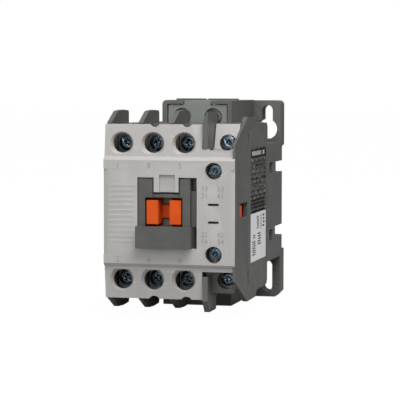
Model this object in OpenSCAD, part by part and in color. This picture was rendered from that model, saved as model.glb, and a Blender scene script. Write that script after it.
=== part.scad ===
// Three-pole contactor with one auxiliary column, for a 35 mm top-hat rail.
// The origin is the centre of the rail seat. The front faces -Y, the rail lies along X behind
// the seat, and +Z is up. Depths d are counted back from the face of the front band.

/* [Body] */
// Width of the housing along the rail
body_w = 45; // [45:0.1:45.6]
// Height of the mounting plate
plate_h = 72.6; // [72.4:0.1:74]
// Distance from the rail seat to the front band
face_depth = 80; // [79.8:0.1:81]
// Depth of the rail recess behind the seat
recess_d = 4; // [3.9:0.1:4.2]
// Wall thickness of the housings
wall = 1.6; // [1.5:0.05:1.7]

/* [Front cover] */
// Thickness of the cover
cover_t = 2; // [1.8:0.1:2]
// Half height of the raised band
band_z = 17.3; // [17:0.1:17.5]
// Half height of the cover over the three poles
cover_z = 29.2; // [28.9:0.1:29.3]
// Radius of a main screwdriver hole
driver_r = 3.3; // [3.1:0.05:3.4]
// Radius of an auxiliary screwdriver hole
aux_driver_r = 2.85; // [2.7:0.05:2.9]

/* [Drive] */
// Travel of the contact carrier
stroke = 5.5; // [5:0.1:5.5]
// Gap of an open contact
contact_gap = 4; // [3.6:0.1:4]

/* [Terminals] */
// Distance of the main terminal screws from mid height
screw_z = 22.9; // [22.7:0.1:23]
// Radius of a main terminal screw's head
head_r = 2.9; // [2.6:0.1:2.9]
// Radius of a main terminal screw's shank
shank_r = 1.9; // [1.8:0.1:2]

/* [Rail latch] */
// Opening travel of the rail latch
latch_travel = 4; // [3:0.5:4]

/* [Hidden] */
$fn = 48;

half_w = body_w / 2;
inner_w = half_w - wall;
eps = 0.05;
dark = [0.34, 0.34, 0.32];
cover_grey = [0.78, 0.77, 0.75];
coil_grey = [0.48, 0.5, 0.48];
orange = [0.88, 0.36, 0.1];
zinc = [0.6, 0.64, 0.68];
copper = [0.72, 0.45, 0.3];
brass = [0.78, 0.68, 0.42];
silver = [0.82, 0.82, 0.8];
steel = [0.5, 0.5, 0.52];

// Poles, the auxiliary column and the phase barriers, across the width
pole_x = [-16.6, -5.9, 4.8];
aux_x = 15.3;
no_screw_x = 17.9;
no_screw_z = 22.9;
nc_screw_z = 13.9;
barrier_x = [[-11.6, -10], [-0.9, 0.7], [11.3, 13.1]];
barrier_in = 7.6;

// Depths of the terminal deck and the contacts
pad_d = 12.6;
pad_t = 1.6;
deck_t = 2;
no_pad_d = 16;
tip_t = 0.8;
tip_z = 10.7;
tip_r = 1.5;
bridge_d = 20;
bridge_t = 1.2;
bridge_tip_t = 1;
closed_gap = 0.1;
inner_pad_d = bridge_d + bridge_t + bridge_tip_t + contact_gap + closed_gap + tip_t;
inner_floor_d = inner_pad_d + pad_t;
nc_pad_d = 5;
nc_pad_t = 1;
nc_bridge_d = 7.65;
nc_bridge_t = 0.8;
nc_tip_z = 9.6;
washer_t = 1.2;
head_h = 3;
aux_head_r = 2.4;
aux_head_h = 2.4;
no_head_d = 10.8;
nc_head_d = 2.2;
nc_head_h = 1.7;
aux_shank_r = 1.6;

// Depths of the housings and the magnet
wall_front_d = 0.75;
split_d = 53.5;
mid_plate_d = 37.5;
tower_front_d = 40;
tower_w = 12.35;
tower_in = 10.9;
tower_z = 36.5;
tower_bottom_z = 35.6;
base_z = 21;
plate_d = 77;
back_d = face_depth + recess_d;
pole_face_d = 58;
armature_d = 44;
armature_back = 4.5;
armature_tip_d = pole_face_d - stroke - 0.2;
stack_z = 6.5;
core_x = 18.5;
leg_x = 13.6;
centre_leg_x = 4.6;
bobbin_d = [54.8, 71.6];
flange_t = 1.2;

// The carrier's head in the cover's window
head_x = [[-7.6, -3.7], [0.3, 4.2]];
head_z = 4;
web_d = 5.8;
web_z = 2.2;
head_hole_x = [-8.1, 4.75];
head_hole_z = 4.9;
head_front_d = 0.3;
beam_x = 19.9;
beam_z = 5.8;
beam_d = [9.5, 36];
aux_beam_d = 4.95;
aux_beam_x = [12.3, 18.6];
window_front_d = 12.5;
window_back_d = bridge_d + bridge_t + 0.1;
no_window_front_d = 16;
nc_window_d = [6.15, 14.5];

// Mounting holes of the plate
hole_x = 17.5;
slot_r = 2.05;
key_r = 3.7;
key_z = 25.8;
key_top_z = 34.65;
low_slot_z = [-34.3, -22.8];

// Fixed hooks over the upper edge of the rail
hook_x = [10, 19];

// Notches through the floor of the base beside the side walls
notch_in = 19.3;

// Window of the rail latch, the peg in it and the spring between them
latch_window_z = [-33.4, -19.4 - latch_travel];
latch_peg_z = [-33.2, -32];
latch_spring_z = [latch_peg_z[1] + 0.1, latch_window_z[1] - 0.1];

// Box between depths, widths and heights
module block(x, d, z)
    translate([x[0], d[0] - face_depth, z[0]]) cube([x[1] - x[0], d[1] - d[0], z[1] - z[0]]);

// The same box on both sides of the middle plane
module block_pair(x, d, z) {
    block(x, d, z);
    block([-x[1], -x[0]], d, z);
}

// Outline drawn as depth and height, extruded across the width
module profile(x, pts)
    translate([x[0], -face_depth, 0]) rotate([90, 0, 90]) linear_extrude(x[1] - x[0]) polygon(pts);

// Outline drawn as width and height, extruded along the depth
module slab(d)
    translate([0, d[1] - face_depth, 0]) rotate([90, 0, 0]) linear_extrude(d[1] - d[0]) children();

// Round bar or bore along the depth
module rod(x, z, r, d, r2 = 0)
    translate([x, d[0] - face_depth, z]) rotate([-90, 0, 0])
        cylinder(h = d[1] - d[0], r1 = r, r2 = r2 == 0 ? r : r2);

module upper_and_lower() {
    children();
    mirror([0, 0, 1]) children();
}

module slot_shape(x, z0, z1, r) {
    translate([x - r, z0 + r]) square([2 * r, z1 - z0 - 2 * r]);
    for (z = [z0 + r, z1 - r]) translate([x, z]) circle(r);
}

module rounded_rect(x, z, r) {
    translate([x[0] + r, z[0]]) square([x[1] - x[0] - 2 * r, z[1] - z[0]]);
    translate([x[0], z[0] + r]) square([x[1] - x[0], z[1] - z[0] - 2 * r]);
    for (cx = [x[0] + r, x[1] - r], cz = [z[0] + r, z[1] - r]) translate([cx, cz]) circle(r);
}

// Helical compression spring along +Z
module spring(length, turns, coil_r, wire_r) {
    sides = 6;
    per_turn = 12;
    n = turns * per_turn;
    rise = length - 2 * wire_r;
    points = [
        for (i = [0:n], k = [0:sides - 1])
            let (a = 360 * i / per_turn, b = 360 * k / sides, r = coil_r + wire_r * cos(b))
                [r * cos(a), r * sin(a), wire_r + rise * i / n + wire_r * sin(b)]
    ];
    sides_faces = [
        for (i = [0:n - 1], k = [0:sides - 1])
            let (m = (k + 1) % sides)
                [i * sides + k, (i + 1) * sides + k, (i + 1) * sides + m, i * sides + m]
    ];
    ends = [[for (k = [0:sides - 1]) k], [for (k = [sides - 1:-1:0]) n * sides + k]];
    polyhedron(points, concat(sides_faces, ends), convexity = 10);
}

module spring_y(x, z, d, turns, coil_r, wire_r)
    translate([x, d[0] - face_depth, z]) rotate([-90, 0, 0])
        spring(d[1] - d[0], turns, coil_r, wire_r);

// Outline of one phase barrier above the terminal deck
barrier = [
    [5.1, barrier_in], [5.1, cover_z + 0.3], [4.2, cover_z + 0.3], [12.5, 33.4], [19, 33.7],
    [25.2, 33.4], [25.9, 32.8], [25.9, 28.9], [mid_plate_d + 0.5, 28.9],
    [mid_plate_d + 0.5, barrier_in]
];

// Outline of the barrier beside the auxiliary column, with its front edge up to a height
function aux_barrier(front_z) = [
    [6.5, barrier_in], [6.5, 21.3], [1.2, 21.3], [1.2, front_z], [4.2, 33.4], [13.2, 33.4],
    [14, 32.6], [14, 28.9], [mid_plate_d + 0.5, 28.9], [mid_plate_d + 0.5, barrier_in]
];

// Terminal deck with the floor under the fixed contacts, seen from the side
function deck(front_d) = [
    [front_d, 18.1], [inner_floor_d, 18.1], [inner_floor_d, 6.8], [30.5, 6.8],
    [30.5, 19.9], [front_d + deck_t, 19.9], [front_d + deck_t, 28.9], [front_d, 28.9]
];

// Shell that carries the terminals, the arc chambers and the armature's space
module main_housing() color(dark) {
    right_wall = [
        [wall_front_d, 0], [wall_front_d, 22.7], [20.1, 31.4], [33.6, 31.2], [35.7, 29],
        [52, 28.8], [split_d, 27.3], [split_d, 0]
    ];
    left_wall = [
        [wall_front_d, 0], [wall_front_d, band_z - 0.7], [5.1, band_z + 1.4], [5.1, 22.7],
        [16, 28.9], [52, 28.8], [split_d, 27.3], [split_d, 0]
    ];
    leg_z = [10.7, 13.7];
    leg_x_pos = [19.4, 20.4];
    difference() {
        union() {
            upper_and_lower() {
                profile([inner_w, half_w], right_wall);
                profile([-half_w, -inner_w], left_wall);
                for (x = [[-half_w, -inner_w], barrier_x[0], barrier_x[1]]) profile(x, barrier);
                profile([-inner_w - eps, barrier_x[2][1]], deck(pad_d + pad_t));
                profile([barrier_x[2][0], inner_w + eps], deck(no_pad_d + pad_t));
                block([-inner_w - eps, inner_w + eps], [no_pad_d + pad_t, split_d], [27.3, 28.9]);
                block([barrier_x[2][1] - eps, inner_w + eps], [6, 7.5], [11.5, 18.2]);
                block_pair(leg_x_pos, [mid_plate_d, 62.4], leg_z);
                block_pair([leg_x_pos[1] - eps, 21.6], [57.4, 59.2], leg_z);
            }
            profile(barrier_x[2], aux_barrier(33.4));
            mirror([0, 0, 1]) profile(barrier_x[2], aux_barrier(29.5));
            block([-inner_w - eps, barrier_x[2][1]], [5.1, 6.6], [-17, 17]);
            block([-inner_w - eps, inner_w + eps], [mid_plate_d, 39.5], [-27.4, 27.4]);
            block([barrier_x[2][1] - eps, inner_w + eps], [7.2, 10], [-27.3, -19.6]);
        }
        upper_and_lower() {
            block([-tower_w - 0.3, tower_w + 0.3], [39.6, split_d + 1], [20.6, 40]);
            for (x = pole_x) rod(x, screw_z, 2.3, [pad_d, pad_d + 5]);
            rod(no_screw_x, no_screw_z, 2.3, [no_pad_d, no_pad_d + 5]);
            rod(aux_x, nc_screw_z, 1.9, [5.5, 8]);
            block([inner_w - 1, half_w + 1], [20.6, 22.2], [21, 25.8]);
            block([-half_w - 1, -inner_w + 1], [20.6, 22.2], [21, 25.8]);
        }
        slab([0, 15]) polygon([[10.8, 28.1], [10.8, 34], [12.8, 34]]);
        block([inner_w - eps, half_w - 0.8], [0, 17], [17.4, 32]);
        block([inner_w - eps, half_w - 0.8], [0, 7.1], [-32, -17.4]);
        rod(no_screw_x, -no_screw_z, aux_driver_r, [6, 11]);
        difference() {
            block(head_hole_x, [5, 7], [-head_hole_z, head_hole_z]);
            upper_and_lower()
                block([head_x[0][1] + 0.35, head_x[1][0] - 0.35], [6, 8], [web_z + 0.4, 6]);
        }
        block([aux_beam_x[0] - 0.5, barrier_x[2][1] + 0.1], [5, 7], [-beam_z - 0.4, beam_z + 0.4]);
        block([-6.4, 6.4], [beam_d[1] - 1.5, 40], [-8.8, 8.8]);
        block_pair([0, beam_x + 0.4], [mid_plate_d - 1, 40], [-beam_z - 0.4, beam_z + 0.4]);
        block_pair([inner_w - 1, half_w + 1], [7.8, 20], [-2.3, 2.7]);
        block([half_w - 0.2, half_w + 1], [25.3, 51], [-18.9, 20.4]);
    }
}

// Shell that carries the magnet and the coil, with the mounting plate and the rail recess
module base_housing() color(dark) {
    floor_d = [plate_d, face_depth];
    floor_window_d = [plate_d - 1, face_depth + 1.3];
    ear_z = plate_h / 2;
    difference() {
        union() {
            block_pair([inner_w - 0.2, half_w], [split_d + 0.2, face_depth], [-base_z, base_z]);
            block([-half_w, half_w], [split_d + 0.2, face_depth], [base_z - 1.8, base_z]);
            block([-half_w, half_w], [split_d + 0.2, face_depth], [-base_z, 1.8 - base_z]);
            block([-half_w, half_w], floor_d, [-base_z, base_z]);
            slab([plate_d, back_d]) rounded_rect([-half_w, half_w], [19.1, ear_z], 1.6);
            slab([plate_d, back_d]) polygon([
                [-half_w, -18.6], [half_w, -18.6], [half_w, 2 - ear_z], [half_w - 2, -ear_z],
                [2 - half_w, -ear_z], [-half_w, 2 - ear_z]
            ]);
            block_pair([tower_in, tower_w], [tower_front_d, plate_d + 1], [base_z - 1.8, tower_z]);
            block_pair([5, tower_w], [tower_front_d, 54], [35.5, tower_z]);
            block([-tower_w + 1.2, tower_w - 1.2], [54, 57], [35.7, 37.2]);
            block([-tower_w + 1, tower_w - 1], [54, plate_d + 1], [35.7, tower_z]);
            block([-tower_w, tower_w], [tower_front_d, plate_d + 1], [-tower_bottom_z, -base_z + 1.8]);
            block_pair(hook_x, [face_depth + 1.3, back_d], [15.7, 19.3]);
        }
        block([-tower_in, tower_in], [split_d - 1, plate_d], [base_z - 2.8, base_z + 1]);
        block([-tower_in, tower_in], [tower_front_d + 1.6, plate_d], [-34, 0.5 - base_z]);
        block([-tower_in, tower_in], [split_d, plate_d], [-base_z - 1, 2.8 - base_z]);
        block_pair([2.2, 9], [43.2, 48.2], [35, 38]);
        translate([0, 54 - face_depth, 37.4]) rotate([0, 45, 0]) cube([1.4, 14, 1.4], center = true);
        slab([plate_d - 1, back_d + 1]) for (x = [-hole_x, hole_x]) {
            slot_shape(x, key_z, key_top_z, slot_r);
            for (k = [0, 0.05]) translate([x * (1 - k), key_z]) circle(key_r);
            slot_shape(x, low_slot_z[0], low_slot_z[1], slot_r);
        }
        block_pair([inner_w - 1, half_w + 1], [57, 63], [10.3, 14.3]);
        block_pair([inner_w - 1, half_w + 1], [57, 63], [-14.1, -9.9]);
        block_pair([notch_in, half_w + 1], [68.3, face_depth + 1], [10.2, 14.2]);
        block_pair([notch_in, half_w + 1], [67.5, face_depth + 1], [-13.2, -9.3]);
        block_pair(hook_x, floor_window_d, [15.6, 19.1]);
        block([-6.5, 6.5], floor_window_d, [-19, -15.4]);
        block([-6.3, 6.3], [face_depth + 1, back_d + 1], [-ear_z - 1, -17]);
        block([-8.3, 8.3], [face_depth + 1, 82.8], [-ear_z - 1, -22.7]);
    }
    block([-1.2, 1.2], [face_depth + 0.5, 83.6], latch_peg_z);
}

// Outline of the cover from its top edge to its bottom edge, seen from the side
function cover_profile(back) = [
    [2.6 + back, cover_z], [1.3 + back, band_z + 1.2], [back, band_z], [back, -band_z],
    [1.3 + back, -band_z - 1.2], [2.6 + back, -cover_z]
];

// Light snap-on cover with the screwdriver holes and the window for the carrier's head
module front_cover() color(cover_grey) {
    back = cover_profile(cover_t);
    outline = concat(cover_profile(0), [for (i = [len(back) - 1:-1:0]) back[i]]);
    low_edge = -19.7;
    recess = [[1.4, 20.7], [9.5, 21.2], [12.4, cover_z], [13.2, cover_z], [10.3, 19.6], [1.5, 19.6]];
    rim_in = inner_w - 0.1;
    side_in = half_w - 0.9;
    difference() {
        union() {
            profile([-half_w, half_w], outline);
            profile([13.4, side_in], recess);
        }
        block([13.4, half_w + 1], [-1, 5], [20.7, cover_z + 1]);
        block([side_in, half_w + 1], [-1, 5], [band_z + 1, cover_z + 1]);
        block([13.3, 17.5], [3.5, 8], [19, 22]);
        block([barrier_x[2][0] - 0.2, 13.5], [-1, 8], [21.2, cover_z + 1]);
        block([barrier_x[2][0] - 0.2, half_w + 1], [-1, 8], [-cover_z - 1, low_edge]);
        block_pair([rim_in, half_w + 1], [wall_front_d - eps, 8], [-band_z - 0.2, band_z + 0.2]);
        block([side_in, half_w + 1], [wall_front_d - eps, 8], [-24, 24]);
        upper_and_lower() {
            for (x = pole_x) {
                rod(x, screw_z, driver_r, [0, 6]);
                rod(x, screw_z, driver_r + 1, [1.4, 3.1], driver_r);
            }
            rod(aux_x, nc_screw_z, aux_driver_r, [-1, 5]);
            for (x = [-5.6, 5.5]) rod(x, cover_z + 1.1, 2.1, [0, 6]);
        }
        rod(no_screw_x, no_screw_z, aux_driver_r, [3, 16]);
        difference() {
            block([-10.75, 9.65], [-1, 5], [-12, 11.6]);
            block([-5.1, 3.4], [-2, 6], [6.7, 12]);
        }
        block([-3.2, 2.15], [-1, 0.8], [6.3, 12.5]);
        block([aux_x - 1.8, aux_x + 1.8], [-1, 5], [2.4, 3.2]);
        block([aux_x - 1.8, aux_x + 1.8], [-1, 5], [-3.5, -2.7]);
        for (m = [0, 1]) mirror([m, 0, 0]) translate([0, -face_depth, -14.3])
            linear_extrude(28.6) polygon([[half_w - 1.6, -1], [half_w + 1, -1], [half_w + 1, 1],
                [half_w, 0.55], [half_w - 1.6, 0]]);
    }
}

// Fixed frame in the window, with the bar that add-on blocks hook over
module accessory_guide() color(dark) difference() {
    union() {
        block([-13, 12], [2.1, 5], [-14, 13.6]);
        block([-10.4, -5.5], [0.1, 2.2], [-4.9, 11.2]);
        block([3.8, 7.4], [0.1, 2.2], [-4.9, 11.2]);
        block([7.3, 9.1], [1.6, 2.2], [-4.9, 7.1]);
        block([-10.4, 7.4], [0.6, 2.2], [4.6, 6.1]);
        block([-8.6, 7.2], [-1.5, 2.2], [-11, -4.9]);
        block([-10.6, 8.4], [-3.4, -1.4], [-11.9, -4.6]);
        block([11.9, 18], [3.4, 4.5], [-5, 5]);
    }
    block(head_hole_x, [-1, 6], [-4.8, head_hole_z]);
    block([-5.3, 3.6], [-1, 3.6], [6.1, 13]);
    block([7.4, 9.6], [1, 3.6], [7.1, 11.7]);
    block([8.4, 9.6], [1, 3.6], [-11.9, -4.9]);
}

// Stack of E laminations that the coil sits on
module e_core(x, back, tip) {
    block([-x, x], back, [-stack_z, stack_z]);
    for (leg = [[-x, -leg_x], [-centre_leg_x, centre_leg_x], [leg_x, x]])
        block(leg, tip, [-stack_z, stack_z]);
}

module fixed_core() color(steel) difference() {
    e_core(core_x, [71.9, 76.2], [pole_face_d, 72]);
    block_pair([14.8, 15.6], [pole_face_d - 1, pole_face_d + 1.15], [-stack_z - 1, stack_z + 1]);
}

// Short-circuit rings in the grooves of the two outer pole faces
module shading_rings() color(copper) difference() {
    block_pair([14.8, 19.2], [pole_face_d + 0.35, pole_face_d + 1.15], [-7.3, 7.3]);
    block_pair([15.6, core_x], [pole_face_d - 1, pole_face_d + 2], [-stack_z, stack_z]);
}

module core_cushion() color([0.12, 0.12, 0.12]) block([-17, 17], [76.2, plate_d], [-6, 6]);

// Bobbin with the block for the two coil terminals on top
module coil_bobbin() color(coil_grey) difference() {
    union() {
        for (d = [bobbin_d[0], bobbin_d[1] - flange_t])
            block([-12.9, 12.9], [d, d + flange_t], [-14.5, 14.5]);
        block([-6, 6], bobbin_d, [-7.9, 7.9]);
        block([-10.6, 10.6], [bobbin_d[0], bobbin_d[1]], [14.4, 35.4]);
        block([-10.6, 10.6], [40.5, bobbin_d[0] + 0.1], [21.3, 35.2]);
        block([-4.8, 4.8], [40.5, 53.7], [35.1, 36.6]);
    }
    block([-centre_leg_x - 0.4, centre_leg_x + 0.4], [50, 75], [-stack_z - 0.4, stack_z + 0.4]);
    for (x = [-5.6, 5.6]) {
        rod(x, 30.9, 3.15, [39, 48]);
        block([x - 3.4, x + 3.4], [43.5, 48], [27.5, 38]);
        block([x - 3.7, x + 3.7], [48 - eps, 49.3], [25.6, 38]);
        rod(x, 30.9, 1.8, [49, 53]);
    }
    block([-9, 9], [57, 69.5], [16, 34]);
}

module coil_winding() color(copper) slab([56.1, 70.3]) difference() {
    rounded_rect([-11.6, 11.6], [-13.8, 13.8], 4);
    rounded_rect([-6.1, 6.1], [-8, 8], 0.3);
}

module coil_terminal(x) color(brass) difference() {
    block([x - 3.4, x + 3.4], [48, 49.2], [25.9, 34.6]);
    rod(x, 30.9, 1.6, [47, 50]);
}

// Pan-head screw with a cross recess, its head towards the front
module screw(x, z, d, r_head, h, r_shank, length) difference() {
    union() {
        rod(x, z, r_head, [d + 0.5, d + h]);
        rod(x, z, r_head - 0.5, [d, d + 0.5], r_head);
        rod(x, z, r_shank, [d + h - 0.01, d + h + length]);
    }
    for (a = [0, 90]) translate([x, d - face_depth, z]) rotate([0, a + 20, 0])
        cube([r_head * 1.35, 2.4, 0.7], center = true);
}

module coil_terminal_screws() color(zinc)
    for (x = [-5.6, 5.6]) screw(x, 30.9, 44.2, 2.6, 2.4, 1.5, 5);

module washer(x, z, d, w, t, hole) difference() {
    block([x - w, x + w], [d, d + t], [z - w, z + w]);
    rod(x, z, hole, [d - 1, d + t + 1]);
}

module coil_clamp_washers() color(zinc)
    for (x = [-5.6, 5.6]) washer(x, 30.9, 46.7, 3.1, 1.2, 1.6);

// Fixed contact strip: terminal pad, riser and inner leg
module contact_strip(x, front_d, screw_x, hole_r) color(copper) difference() {
    profile(x, [
        [front_d, 16.5], [front_d, 28], [front_d + pad_t, 28], [front_d + pad_t, 18.1],
        [inner_floor_d, 18.1], [inner_floor_d, 8.6], [inner_pad_d, 8.6], [inner_pad_d, 16.5]
    ]);
    rod(screw_x, screw_z, hole_r, [front_d - 1, front_d + pad_t + 1]);
}

module line_contact(i)
    contact_strip([pole_x[i] - 3, pole_x[i] + 3], pad_d, pole_x[i], shank_r + eps);
module load_contact(i) mirror([0, 0, 1]) line_contact(i);
module no_contact_upper() contact_strip([13.4, 20.6], no_pad_d, no_screw_x, aux_shank_r + eps);
module no_contact_lower() mirror([0, 0, 1]) no_contact_upper();

module nc_contact_upper() color(copper) difference() {
    block([13.3, 17.6], [nc_pad_d, nc_pad_d + nc_pad_t], [8.2, 17.9]);
    rod(aux_x, nc_screw_z, aux_shank_r + eps, [4, 7]);
}

module nc_contact_lower() mirror([0, 0, 1]) nc_contact_upper();

module fixed_contact_tips() color(silver) upper_and_lower()
    for (x = pole_x) rod(x, tip_z, tip_r, [inner_pad_d - tip_t, inner_pad_d]);

module aux_fixed_tips() color(silver) upper_and_lower() {
    rod(aux_x, tip_z, 1.2, [inner_pad_d - tip_t, inner_pad_d]);
    rod(aux_x, nc_tip_z, 1.1, [nc_pad_d + nc_pad_t, nc_pad_d + nc_pad_t + 0.8]);
}

module main_terminal_screws() color(zinc) upper_and_lower() for (x = pole_x)
    screw(x, screw_z, pad_d - 0.1 - washer_t - head_h, head_r, head_h, shank_r, 8);

module main_clamp_washers() color(zinc) upper_and_lower() for (x = pole_x)
    washer(x, screw_z, pad_d - 0.1 - washer_t, 3.8, washer_t, shank_r + eps);

module aux_terminal_screws() color(zinc) upper_and_lower() {
    screw(no_screw_x, no_screw_z, no_head_d, aux_head_r, aux_head_h, aux_shank_r, 7);
    screw(aux_x, nc_screw_z, nc_head_d, aux_head_r, nc_head_h, aux_shank_r, 4.3);
}

module aux_clamp_washers() color(zinc) upper_and_lower() {
    washer(no_screw_x, no_screw_z, no_head_d + aux_head_h, 2.9, 0.8, aux_shank_r + eps);
    washer(aux_x, nc_screw_z, nc_head_d + nc_head_h, 2.2, 0.9, aux_shank_r + eps);
}

module rating_label() color([0.25, 0.25, 0.24])
    block([half_w - 0.2, half_w - 0.04], [25.4, 50.9], [-2, 20.3]);

module type_sticker() color([0.9, 0.9, 0.9])
    block([half_w - 0.2, half_w - 0.04], [25.4, 50.9], [-18.8, -2.1]);

// Sprung latch that grips the lower edge of the rail
module rail_latch() color(dark) difference() {
    union() {
        block([-6, 6], [face_depth + 1.3, 83.7], [-35.8, -15.7]);
        block([-8, 8], [face_depth + 1.3, 82.5], [-35.8, -23]);
    }
    block([-1.6, 1.6], [face_depth, back_d], latch_window_z);
    translate([0, 83.7 - face_depth, -15.7]) rotate([45, 0, 0]) cube([20, 1.8, 1.8], center = true);
    block_pair([2.2, 5], [face_depth, back_d], [-35, -33]);
}

module rail_latch_spring() color(steel)
    translate([0, 82.5 - face_depth, latch_spring_z[0]])
        spring(latch_spring_z[1] - latch_spring_z[0], 6, 0.85, 0.22);

// Window through the carrier for one contact bridge and its spring
module bridge_window(x, half, d) block([x - half, x + half], d, [-beam_z - 1, beam_z + 1]);

// Moulded carrier: the head in the window, the beam with the bridges and the armature's yoke
module contact_carrier() color(orange) difference() {
    union() {
        for (x = head_x) block(x, [head_front_d, beam_d[0] + 1], [-head_z, head_z]);
        block([head_x[0][0], head_x[1][1]], [web_d, beam_d[0] + 1], [-web_z, web_z]);
        block([-beam_x, beam_x], beam_d, [-beam_z, beam_z]);
        block(aux_beam_x, [aux_beam_d, beam_d[1]], [-beam_z, beam_z]);
        block_pair([18.2, beam_x], [8.2, 14], [-2, 2]);
        block_pair([beam_x - 0.5, 22.1], [8.2, 12.8], [-2, 2]);
        block([-6, 6], [beam_d[1] - 1, 43.9], [-8.4, 8.4]);
        upper_and_lower() {
            block([-6, 6], [43, 48.4], [6.8, 8.4]);
            block([-2.8, 2.8], [44.4, 46], [8.3, 13.4]);
        }
    }
    for (x = pole_x) bridge_window(x, 2.7, [window_front_d, window_back_d]);
    bridge_window(aux_x, 2.3, [no_window_front_d, window_back_d]);
    bridge_window(aux_x, 2.3, nc_window_d);
    for (x = [-11.25, -0.55, 10.35]) block([x - 1, x + 1], [24, 37], [-7, 7]);
    translate([0, 46.2 - face_depth, -12]) cylinder(h = 24, r = 1.5);
}

module armature() color(steel) difference() {
    e_core(core_x, [armature_d, armature_d + armature_back], [armature_d, armature_tip_d]);
    translate([0, 46.2 - face_depth, -12]) cylinder(h = 24, r = 1.55);
}

module armature_pin() color(zinc) translate([0, 46.2 - face_depth, -8.3]) cylinder(h = 16.6, r = 1.45);

module return_springs() color(steel) upper_and_lower()
    spring_y(0, 11, [46, bobbin_d[0]], 4, 2, 0.3);

// Moving contact bar and the two tips brazed on it
module contact_bridge(x) color(copper) difference() {
    block([x - 2.5, x + 2.5], [bridge_d, bridge_d + bridge_t], [-12.6, 12.6]);
    for (z = [-12.6, 12.6]) translate([x, bridge_d - face_depth, z]) rotate([45, 0, 0])
        cube([8, 0.8, 0.8], center = true);
}

module bridge_tips(x) color(silver) upper_and_lower()
    rod(x, tip_z, tip_r, [bridge_d + bridge_t, bridge_d + bridge_t + bridge_tip_t]);

module contact_spring(x) color(steel)
    spring_y(x, 0, [window_front_d, bridge_d], 5, 1.9, 0.3);

module no_bridge() color(copper) {
    block([aux_x - 1.8, aux_x + 1.8], [bridge_d, bridge_d + bridge_t], [-12.2, 12.2]);
    upper_and_lower()
        rod(aux_x, tip_z, 1.2, [bridge_d + bridge_t - 0.01, bridge_d + bridge_t + bridge_tip_t]);
}

module nc_bridge() color(copper) {
    block([aux_x - 1.8, aux_x + 1.8], [nc_bridge_d, nc_bridge_d + nc_bridge_t], [-11, 11]);
    upper_and_lower() rod(aux_x, nc_tip_z, 1.1, [nc_bridge_d - 0.8, nc_bridge_d + 0.01]);
}

module no_spring() color(steel)
    spring_y(aux_x, 0, [no_window_front_d, bridge_d], 4, 1.4, 0.22);

module nc_spring() color(steel)
    spring_y(aux_x, 0, [nc_bridge_d + nc_bridge_t, nc_window_d[1]], 5, 1.4, 0.22);

base_housing();
main_housing();
front_cover();
accessory_guide();
fixed_core();
shading_rings();
core_cushion();
coil_bobbin();
coil_winding();
coil_terminal(-5.6);  // coil_terminal_a1
coil_terminal(5.6);  // coil_terminal_a2
coil_terminal_screws();
coil_clamp_washers();
line_contact(0);  // line_contact_1
line_contact(1);  // line_contact_2
line_contact(2);  // line_contact_3
load_contact(0);  // load_contact_1
load_contact(1);  // load_contact_2
load_contact(2);  // load_contact_3
fixed_contact_tips();
no_contact_upper();
no_contact_lower();
nc_contact_upper();
nc_contact_lower();
aux_fixed_tips();
main_terminal_screws();
main_clamp_washers();
aux_terminal_screws();
aux_clamp_washers();
rating_label();
type_sticker();
rail_latch();
rail_latch_spring();
contact_carrier();
armature();
armature_pin();
return_springs();
contact_bridge(pole_x[0]);  // contact_bridge_1
contact_bridge(pole_x[1]);  // contact_bridge_2
contact_bridge(pole_x[2]);  // contact_bridge_3
bridge_tips(pole_x[0]);  // bridge_tips_1
bridge_tips(pole_x[1]);  // bridge_tips_2
bridge_tips(pole_x[2]);  // bridge_tips_3
contact_spring(pole_x[0]);  // contact_spring_1
contact_spring(pole_x[1]);  // contact_spring_2
contact_spring(pole_x[2]);  // contact_spring_3
no_bridge();
nc_bridge();
no_spring();
nc_spring();
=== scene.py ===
import math

import bmesh
import bpy
from mathutils import Matrix, Vector


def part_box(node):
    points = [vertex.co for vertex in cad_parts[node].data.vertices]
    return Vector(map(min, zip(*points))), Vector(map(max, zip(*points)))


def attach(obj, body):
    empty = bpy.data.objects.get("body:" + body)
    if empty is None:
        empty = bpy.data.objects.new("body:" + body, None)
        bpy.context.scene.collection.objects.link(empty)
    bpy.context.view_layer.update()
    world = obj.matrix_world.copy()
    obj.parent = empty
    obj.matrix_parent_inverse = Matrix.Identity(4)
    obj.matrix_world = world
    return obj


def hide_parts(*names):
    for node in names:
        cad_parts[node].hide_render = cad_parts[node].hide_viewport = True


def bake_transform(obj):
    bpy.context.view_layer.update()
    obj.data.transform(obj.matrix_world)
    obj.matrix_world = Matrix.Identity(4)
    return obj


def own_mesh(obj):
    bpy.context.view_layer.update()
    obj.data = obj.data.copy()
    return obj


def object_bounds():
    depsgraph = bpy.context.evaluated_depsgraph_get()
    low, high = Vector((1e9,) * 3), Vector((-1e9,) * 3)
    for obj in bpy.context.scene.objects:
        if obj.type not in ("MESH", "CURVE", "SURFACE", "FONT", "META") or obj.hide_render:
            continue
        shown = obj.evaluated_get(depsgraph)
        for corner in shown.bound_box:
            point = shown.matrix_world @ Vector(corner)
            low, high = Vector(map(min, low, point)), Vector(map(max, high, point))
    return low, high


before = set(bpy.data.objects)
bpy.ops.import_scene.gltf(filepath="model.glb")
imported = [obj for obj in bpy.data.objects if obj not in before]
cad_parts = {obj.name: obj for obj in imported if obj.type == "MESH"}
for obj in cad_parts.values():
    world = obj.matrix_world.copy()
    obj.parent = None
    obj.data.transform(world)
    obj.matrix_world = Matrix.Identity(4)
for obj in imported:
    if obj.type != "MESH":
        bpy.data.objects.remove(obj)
cad_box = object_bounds()
bpy.ops.object.select_all(action="DESELECT")


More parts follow.
